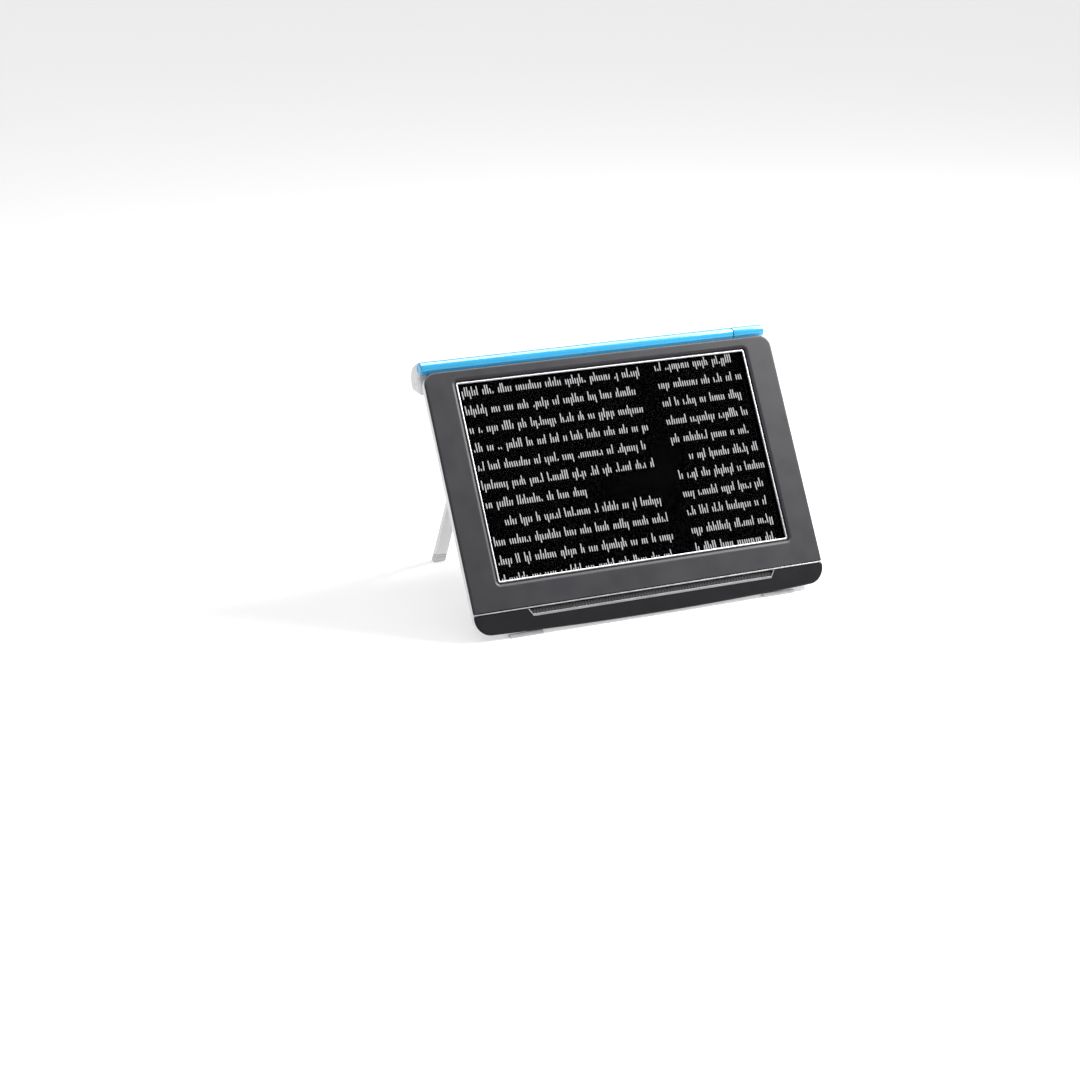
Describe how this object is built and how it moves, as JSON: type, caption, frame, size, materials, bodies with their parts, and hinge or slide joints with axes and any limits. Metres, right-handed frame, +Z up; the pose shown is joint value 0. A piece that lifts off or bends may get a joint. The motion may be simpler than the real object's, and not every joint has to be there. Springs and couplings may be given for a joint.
{
  "type": "low vision magnifier",
  "caption": "Electronic low vision magnifier: a leaning tablet screen with a fold-out two-leg stand and a camera arm that swings out from its top edge.",
  "frame": {"origin": "centre of the overall box, on the table that the magnifier stands on", "axes": "+Z up, -Y the side that the screen faces, +X to the right of someone who reads the screen; at rest the tablet leans back 30 degrees on its open stand"},
  "size_m": [0.262, 0.1725, 0.1665],
  "materials": {
    "charcoal_plastic": "satin moulded, charcoal",
    "black_plastic": "satin moulded, near black",
    "silver_trim": "bright polished edge",
    "black_mesh": "perforated, black",
    "cover_glass": "polished",
    "display": "display module, black when off",
    "cast_aluminium": "cast, satin",
    "circuit_board": "solder mask, green",
    "battery_wrap": "shrink wrap, black",
    "white_plastic": "smooth moulded, white",
    "stand_white": "powder coated, white",
    "inner_plastic": "moulded, dark",
    "button_plastic": "satin moulded, dark",
    "socket_steel": "plated",
    "lens_glass": "coated lens window",
    "frosted_window": "frosted",
    "rubber_feet": "matte",
    "rubber_tips": "matte, light grey",
    "hinge_steel": "turned",
    "screw_steel": "plated",
    "blue_gloss": "high gloss, blue"
  },
  "bodies": {
    "tablet": {"front_bezel": "charcoal_plastic", "chin_cover": "black_plastic", "chin_line": "silver_trim", "slot_edge": "silver_trim", "screen_trim": "silver_trim", "speaker_grille": "black_mesh", "cover_glass": "cover_glass", "lcd_panel": "display", "mid_frame": "cast_aluminium", "main_board": "circuit_board", "heat_spreader": "cast_aluminium", "battery_pack": "battery_wrap", "battery_cover": "white_plastic", "rear_shell": "white_plastic", "speaker_left": "inner_plastic", "speaker_right": "inner_plastic", "button_board": "circuit_board", "usb_socket": "socket_steel", "audio_socket": "inner_plastic", "rear_camera": "inner_plastic", "rear_camera_window": "lens_glass", "rear_led_window": "frosted_window", "base_foot_left": "rubber_feet", "base_foot_right": "rubber_feet", "stand_bracket_left": "white_plastic", "stand_bracket_right": "white_plastic", "arm_hinge_bracket": "white_plastic", "arm_hinge_pin": "hinge_steel", "arm_hinge_washer": "hinge_steel", "blue_hinge_cap": "blue_gloss", "rear_screw_1": "screw_steel", "rear_screw_2": "screw_steel", "rear_screw_3": "screw_steel", "rear_screw_4": "screw_steel", "bracket_screw_1": "screw_steel", "bracket_screw_2": "screw_steel"},
    "stand": {"stand_crossbar": "hinge_steel", "stand_leg_left": "stand_white", "stand_leg_right": "stand_white", "leg_tip_left": "rubber_tips", "leg_tip_right": "rubber_tips"},
    "camera_arm": {"arm_housing": "white_plastic", "arm_cover": "inner_plastic", "arm_board": "circuit_board", "arm_camera": "inner_plastic", "arm_camera_window": "lens_glass", "arm_led_window_left": "frosted_window", "arm_led_window_right": "frosted_window", "blue_rail": "blue_gloss"},
    "power_button": {"power_button": "button_plastic"},
    "zoom_in_button": {"zoom_in_button": "button_plastic"},
    "zoom_out_button": {"zoom_out_button": "button_plastic"}
  },
  "joints": [
    {"name": "stand_fold", "type": "hinge", "parent": "tablet", "child": "stand", "pos_m": [0, 0.01064, 0.13481], "axis": [1, 0, 0], "range_deg": [-58.2, 0]},
    {"name": "camera_arm_swing", "type": "hinge", "parent": "tablet", "child": "camera_arm", "pos_m": [0.121, 0.01302, 0.14053], "axis": [0, -0.5, -0.866], "range_deg": [0, 180]},
    {"name": "power_press", "type": "slide", "parent": "tablet", "child": "power_button", "axis": [-1, 0, 0], "range_m": [0, 0.0007], "stiffness_N_per_m": 600},
    {"name": "zoom_in_press", "type": "slide", "parent": "tablet", "child": "zoom_in_button", "axis": [-1, 0, 0], "range_m": [0, 0.0007], "stiffness_N_per_m": 600},
    {"name": "zoom_out_press", "type": "slide", "parent": "tablet", "child": "zoom_out_button", "axis": [-1, 0, 0], "range_m": [0, 0.0007], "stiffness_N_per_m": 600}
  ]
}
